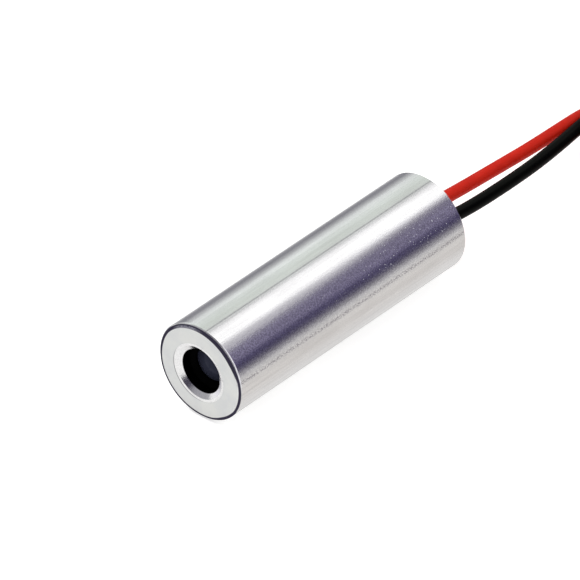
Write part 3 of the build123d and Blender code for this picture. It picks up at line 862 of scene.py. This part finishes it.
def makeRoom(choice):
    world = bpy.data.worlds.new("studioRoom")
    world.use_nodes = True
    world.node_tree.nodes.clear()
    scene.world = world
    maker = TreeMaker(world.node_tree)
    direction = maker.add("ShaderNodeTexCoord").outputs["Generated"]
    across, rearward, up = maker.add("ShaderNodeSeparateXYZ", {0: direction}).outputs
    angle = maker.math("DEGREES", maker.math("ARCTAN2", up, across))
    forward = remap(maker, rearward, *choice["frontFrom"])
    behind = brightnessRamp(maker, angle, roomBands)
    ahead = brightnessRamp(maker, angle, frontBands)
    bands = blendColour(maker, forward, behind, ahead)
    onLamp = maker.times(
        within(maker, rearward, *choice["sideLampForward"]),
        within(maker, angle, *choice["sideLampAngles"]),
    )
    bands = blendColour(maker, onLamp, bands, opaque(choice["sideLamp"]))
    background = "ShaderNodeBackground"
    fill = glow(maker, white, choice["fill"], background)
    mirrored = glow(maker, bands, kind=background)
    seen = glow(maker, white, kind=background)
    maker.add("ShaderNodeOutputWorld", {"Surface": sortRays(maker, fill, mirrored, seen)})


def makeSheet(name, corners):
    mesh = bpy.data.meshes.new(name)
    mesh.from_pydata(corners, [], [(0, 1, 2, 3)])
    sheet = bpy.data.objects.new(name, mesh)
    scene.collection.objects.link(sheet)
    return sheet


def finishSheet(sheet, material, maker, surface):
    maker.add("ShaderNodeOutputMaterial", {"Surface": surface})
    sheet.data.materials.append(material)


def makeFloor(choice):
    half = choice["floorSize"] / 2
    floor = makeSheet("paleTable", [(-half, -half, 0), (half, -half, 0), (half, half, 0), (-half, half, 0)])
    material, maker = newMaterial("paleTable")
    matt = maker.add("ShaderNodeBsdfDiffuse", {"Color": opaque(choice["floorColour"])}).outputs[0]
    warmed = addShaders(maker, matt, glow(maker, white, choice["floorGlow"]))
    lifted = addShaders(maker, matt, glow(maker, white, choice["floorLift"]))
    place = maker.add("ShaderNodeTexCoord").outputs["Object"]
    part = maker.add("ShaderNodeSeparateXYZ", {0: place}).outputs
    # painted light and shade on the floor, seen only in the metal
    ahead = remap(maker, part[1], *(reach * mm for reach in choice["aheadFrom"]))
    across = brightnessRamp(maker, maker.math("DIVIDE", part[0], mm), floorBands)
    mirrored = blendColour(maker, ahead, across, opaque(choice["floorAhead"]))
    finishSheet(floor, material, maker, sortRays(maker, warmed, glow(maker, mirrored), lifted))


cardChoice = {
    "height": 100.0,  # mm over the table
    "corners": ((-20.0, 30.0), (95.0, 200.0)),
    "edge": ((65.6, 72.6), (43.8, 87.7)),  # mm, two points of its slanting soft edge
    "colour": (1.25, 1.25, 1.25),
    # how much of it shows, by mm beyond the edge
    "shares": [(-50, 0.34), (-9, 0.34), (-5, 0.42), (2, 0.46), (8, 0.03), (14, 0.0), (50, 0.0)],
}


def makeSoftCard(choice):
    # the white card that only the metal sees: its slanting edge narrows the highlight rearwards
    (left, near), (right, far) = choice["corners"]
    corners = [(left, near), (left, far), (right, far), (right, near)]
    card = makeSheet("softCard", [(x * mm, y * mm, choice["height"] * mm) for x, y in corners])
    card.visible_camera = False
    card.visible_diffuse = False
    card.visible_transmission = False
    card.visible_shadow = False
    material, maker = newMaterial("softCard")
    place = maker.add("ShaderNodeTexCoord").outputs["Object"]
    part = maker.add("ShaderNodeSeparateXYZ", {0: place}).outputs
    (startX, startY), (endX, endY) = choice["edge"]
    run = math.hypot(endX - startX, endY - startY)
    acrossX, acrossY = (endY - startY) / run, (startX - endX) / run
    fromStart = maker.math("MULTIPLY_ADD", part[1], acrossY / mm, -(startX * acrossX + startY * acrossY))
    beyond = maker.math("MULTIPLY_ADD", part[0], acrossX / mm, fromStart)
    shares = [(distance, (share, share, share)) for distance, share in choice["shares"]]
    share = brightnessRamp(maker, beyond, shares)
    clear = maker.add("ShaderNodeBsdfTransparent").outputs[0]
    light = glow(maker, opaque(choice["colour"]))
    finishSheet(card, material, maker, mixShaders(maker, share, clear, light))


def makeKeyLamp(choice):
    data = bpy.data.lights.new("softKey", "AREA")
    data.shape = "SQUARE"
    data.size = choice["keySize"]
    data.energy = choice["keyPower"]
    lamp = bpy.data.objects.new("softKey", data)
    lamp.location = choice["keyPlace"]
    lamp.rotation_mode = "QUATERNION"
    lamp.rotation_quaternion = (-Vector(choice["keyPlace"])).to_track_quat("-Z", "Y")
    lamp.visible_glossy = False
    scene.collection.objects.link(lamp)


makeRoom(roomChoice)
makeFloor(roomChoice)
makeSoftCard(cardChoice)
makeKeyLamp(roomChoice)
scene.view_settings.view_transform = "Standard"
print("table, room and lamp set")
